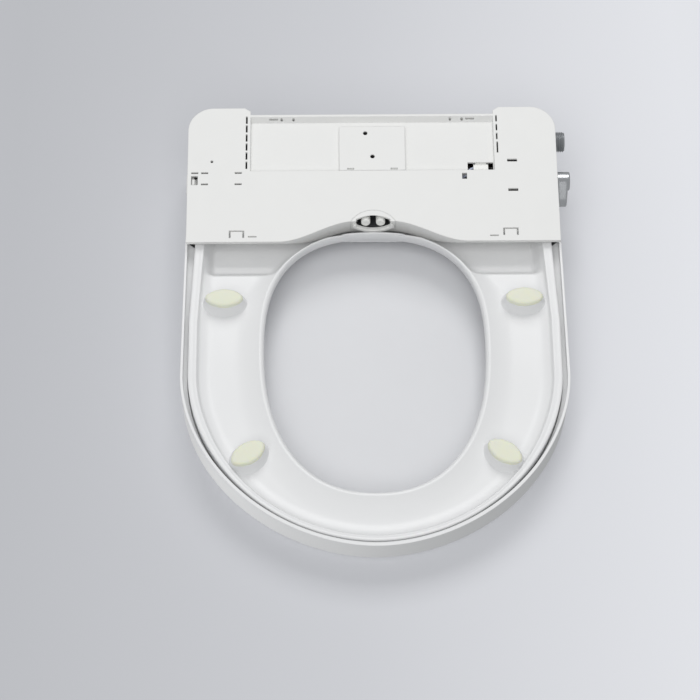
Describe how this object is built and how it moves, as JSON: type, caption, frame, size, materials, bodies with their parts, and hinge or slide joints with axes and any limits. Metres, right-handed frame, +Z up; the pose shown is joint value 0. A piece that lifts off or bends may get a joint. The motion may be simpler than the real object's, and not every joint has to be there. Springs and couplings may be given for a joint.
{
  "type": "electric bidet seat",
  "caption": "Electric bidet seat with a closed lid over a heated U-shaped seat ring, a wide rear base unit, sliding spray nozzles, a side selector lever and a side water inlet.",
  "frame": {"origin": "on the plane of the toilet's top, in the middle of the block that sits over the mounting bracket", "axes": "+Z up, front of the seat faces -Y, X = 0 is the plane of symmetry and the inlet is on the -X side"},
  "size_m": [0.3927, 0.4765, 0.098],
  "materials": {
    "pan_white": "satin white moulded plastic",
    "shell_white": "high-gloss white moulded plastic",
    "cream_rubber": "translucent cream silicone",
    "graphite": "dark grey filled plastic",
    "threaded_metal": "dark plated thread",
    "chrome": "satin chrome plate",
    "steel": "brushed steel",
    "nozzle_white": "warm white plastic",
    "acetal": "natural acetal",
    "valve_plastic": "blue moulded plastic",
    "heater_metal": "plain metal casing",
    "board_green": "coated circuit board",
    "foil": "foil heater",
    "black_rubber": "black rubber"
  },
  "bodies": {
    "base": {"base_pan": "pan_white", "mount_block": "pan_white", "nozzle_shroud": "pan_white", "base_cover": "shell_white", "hinge_cap_left": "pan_white", "hinge_cap_right": "pan_white", "seat_damper": "graphite", "lid_damper": "graphite", "nozzle_cradle": "graphite", "nozzle_hood": "graphite", "front_motor": "steel", "rear_motor": "steel", "selector_valve": "graphite", "inlet_fitting": "threaded_metal", "solenoid_valve": "valve_plastic", "flow_regulator": "nozzle_white", "instant_heater": "heater_metal", "heater_feed_tube": "acetal", "air_pump": "graphite", "control_board": "board_green", "power_module": "graphite", "wire_connector": "nozzle_white", "cord_gland": "black_rubber"},
    "seat": {"seat_top": "shell_white", "seat_rim": "shell_white", "seat_lip": "shell_white", "seat_bottom": "shell_white", "seat_heater": "foil", "seat_foot_rear_left": "cream_rubber", "seat_foot_rear_right": "cream_rubber", "seat_foot_front_left": "cream_rubber", "seat_foot_front_right": "cream_rubber", "seat_shaft": "steel"},
    "lid": {"lid_shell": "shell_white", "lid_rim": "shell_white", "lid_pad_left": "cream_rubber", "lid_pad_right": "cream_rubber", "lid_shaft": "steel"},
    "front_nozzle": {"front_nozzle": "nozzle_white", "front_nozzle_tip": "nozzle_white"},
    "rear_nozzle": {"rear_nozzle": "nozzle_white", "rear_nozzle_tip": "nozzle_white"},
    "front_pinion": {"front_pinion": "acetal"},
    "rear_pinion": {"rear_pinion": "acetal"},
    "selector": {"selector_lever": "chrome", "selector_spindle": "steel"},
    "release": {"release_button": "pan_white"}
  },
  "joints": [
    {"name": "seat_hinge", "type": "hinge", "parent": "base", "child": "seat", "pos_m": [0, -0.026, 0.062], "axis": [-1, 0, 0], "range_deg": [0, 97]},
    {"name": "lid_hinge", "type": "hinge", "parent": "seat", "child": "lid", "pos_m": [0, -0.026, 0.062], "axis": [1, 0, 0], "range_deg": [-100, 0]},
    {"name": "front_nozzle_slide", "type": "slide", "parent": "base", "child": "front_nozzle", "axis": [0, -0.9659, -0.2588], "range_m": [0, 0.066]},
    {"name": "rear_nozzle_slide", "type": "slide", "parent": "base", "child": "rear_nozzle", "axis": [0, -0.9659, -0.2588], "range_m": [0, 0.066]},
    {"name": "front_pinion_turn", "type": "hinge", "parent": "base", "child": "front_pinion", "pos_m": [0.0198, -0.0445, 0.01789], "axis": [0, -0.2588, 0.9659], "range_deg": [0, 631.3]},
    {"name": "rear_pinion_turn", "type": "hinge", "parent": "base", "child": "rear_pinion", "pos_m": [-0.0198, -0.0445, 0.01789], "axis": [0, -0.2588, 0.9659], "range_deg": [-631.3, 0]},
    {"name": "selector_turn", "type": "hinge", "parent": "base", "child": "selector", "pos_m": [-0.19, -0.03, 0.024], "axis": [-1, 0, 0], "range_deg": [-45, 0]},
    {"name": "release_push", "type": "slide", "parent": "base", "child": "release", "axis": [-1, 0, 0], "range_m": [0, 0.003], "stiffness_N_per_m": 400, "springref_m": -0.002}
  ],
  "couplings": [
    {"joint": "front_pinion_turn", "follows": "front_nozzle_slide", "rad_per_m": 166.67},
    {"joint": "rear_pinion_turn", "follows": "rear_nozzle_slide", "rad_per_m": -166.67}
  ]
}
